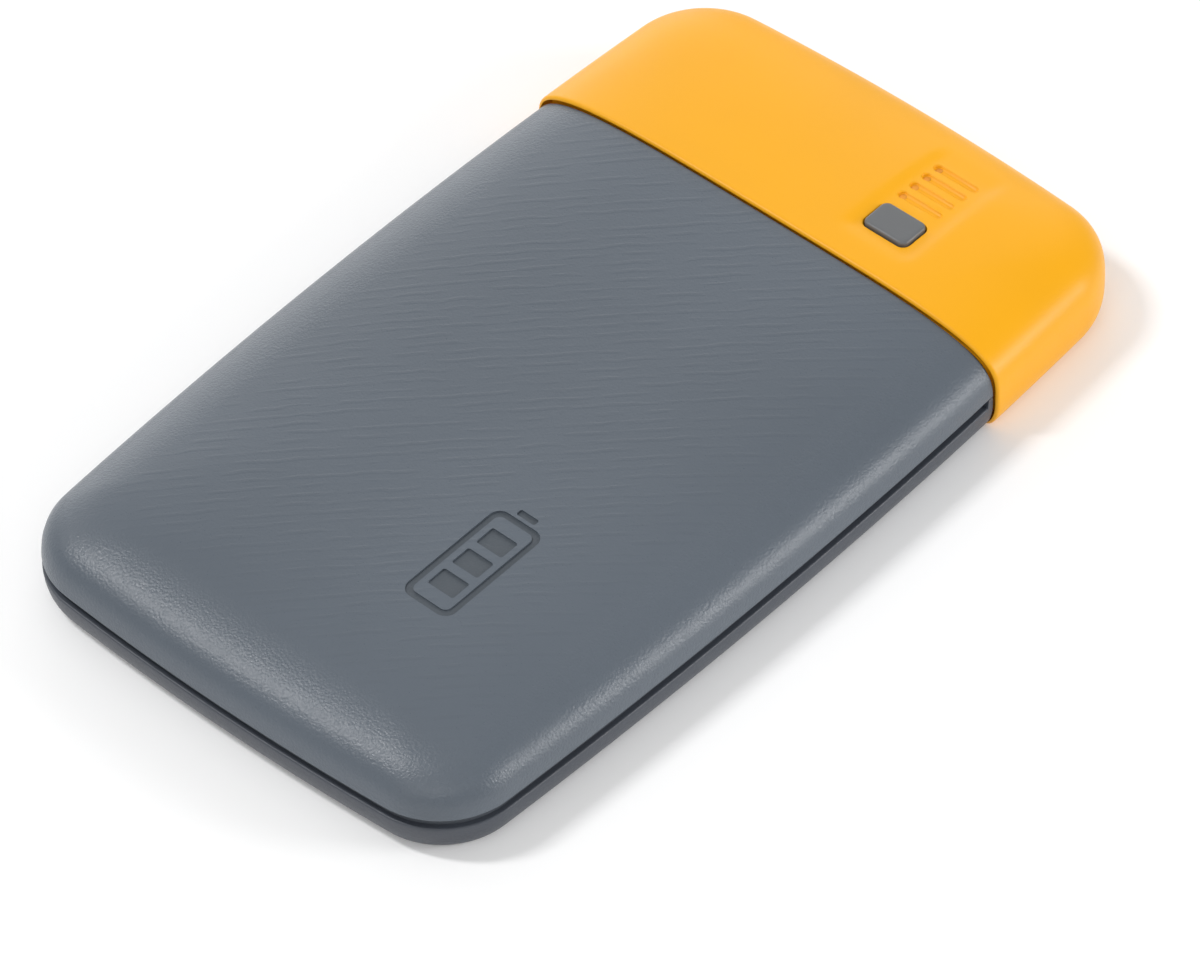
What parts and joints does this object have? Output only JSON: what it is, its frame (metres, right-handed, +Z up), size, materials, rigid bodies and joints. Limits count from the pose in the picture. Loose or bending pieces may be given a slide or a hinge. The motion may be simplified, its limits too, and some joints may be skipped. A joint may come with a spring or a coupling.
{
  "type": "power bank",
  "caption": "Slim pocket power bank: domed grey body with a waist groove and a proud orange end cap that carries a push key, a row of light slots and USB ports",
  "frame": {"origin": "bottom centre of the whole case, on the surface that it lies on", "axes": "+X across the case towards the key, +Y along the case towards the orange end cap and its ports, +Z up out of the domed face"},
  "size_m": [0.0776, 0.132, 0.0146],
  "materials": {
    "body_grey": "satin moulded plastic, fine grain, slate grey",
    "base_grey": "satin moulded plastic, slate grey",
    "cap_orange": "satin moulded plastic, yellow-orange",
    "frame_black": "matt moulded plastic, near black",
    "key_grey": "satin moulded plastic, mid grey",
    "clear": "clear moulded light pipe",
    "cell_foil": "laminated pouch foil",
    "tape": "double-sided tape",
    "foam": "closed-cell foam",
    "nickel": "nickel strip",
    "amber_film": "amber insulating film",
    "wire_red": "red silicone insulation",
    "wire_black": "black silicone insulation",
    "epoxy_black": "black epoxy bead",
    "board_green": "solder-masked circuit board",
    "screw_steel": "zinc-plated screw",
    "port_steel": "nickel-plated steel",
    "port_insulator": "white moulded insulator",
    "port_black": "black moulded insulator",
    "contact_gold": "gold-plated contact",
    "led_white": "surface light-emitting diode",
    "ferrite": "shielded inductor",
    "chip_black": "black chip package",
    "can_aluminium": "aluminium capacitor can",
    "ceramic": "ceramic chip component"
  },
  "bodies": {
    "case": {"top_cover": "body_grey", "bottom_cover": "base_grey", "end_cap": "cap_orange", "mid_frame": "frame_black", "light_pipe": "clear", "cell_lower": "cell_foil", "cell_upper": "cell_foil", "cell_tape_lower": "tape", "cell_tape_middle": "tape", "foam_pad": "foam", "cell_tabs": "nickel", "tab_strip_positive": "nickel", "tab_strip_negative": "nickel", "tab_insulator": "amber_film", "lead_positive": "wire_red", "lead_negative": "wire_black", "thermistor": "epoxy_black", "main_board": "board_green", "board_screws": "screw_steel", "usb_a_shell_left": "port_steel", "usb_a_shell_right": "port_steel", "usb_a_tongue_left": "port_insulator", "usb_a_tongue_right": "port_insulator", "usb_a_contacts_left": "contact_gold", "usb_a_contacts_right": "contact_gold", "usb_c_shell": "port_steel", "usb_c_tongue": "port_black", "usb_c_contacts": "contact_gold", "switch_base": "port_black", "switch_cover": "port_steel", "status_leds": "led_white", "power_inductor": "ferrite", "charge_controller": "chip_black", "power_transistors": "chip_black", "polymer_capacitors": "can_aluminium", "small_passives": "ceramic"},
    "button": {"power_button": "key_grey"},
    "plunger": {"switch_plunger": "port_black"}
  },
  "joints": [
    {"name": "button_press", "type": "slide", "parent": "case", "child": "button", "axis": [0, 0, -1], "range_m": [0, 0.00035], "stiffness_N_per_m": 3000},
    {"name": "switch_press", "type": "slide", "parent": "case", "child": "plunger", "axis": [0, 0, -1], "range_m": [0, 0.00035], "stiffness_N_per_m": 1000}
  ],
  "couplings": [
    {"joint": "switch_press", "follows": "button_press", "ratio": 1}
  ]
}
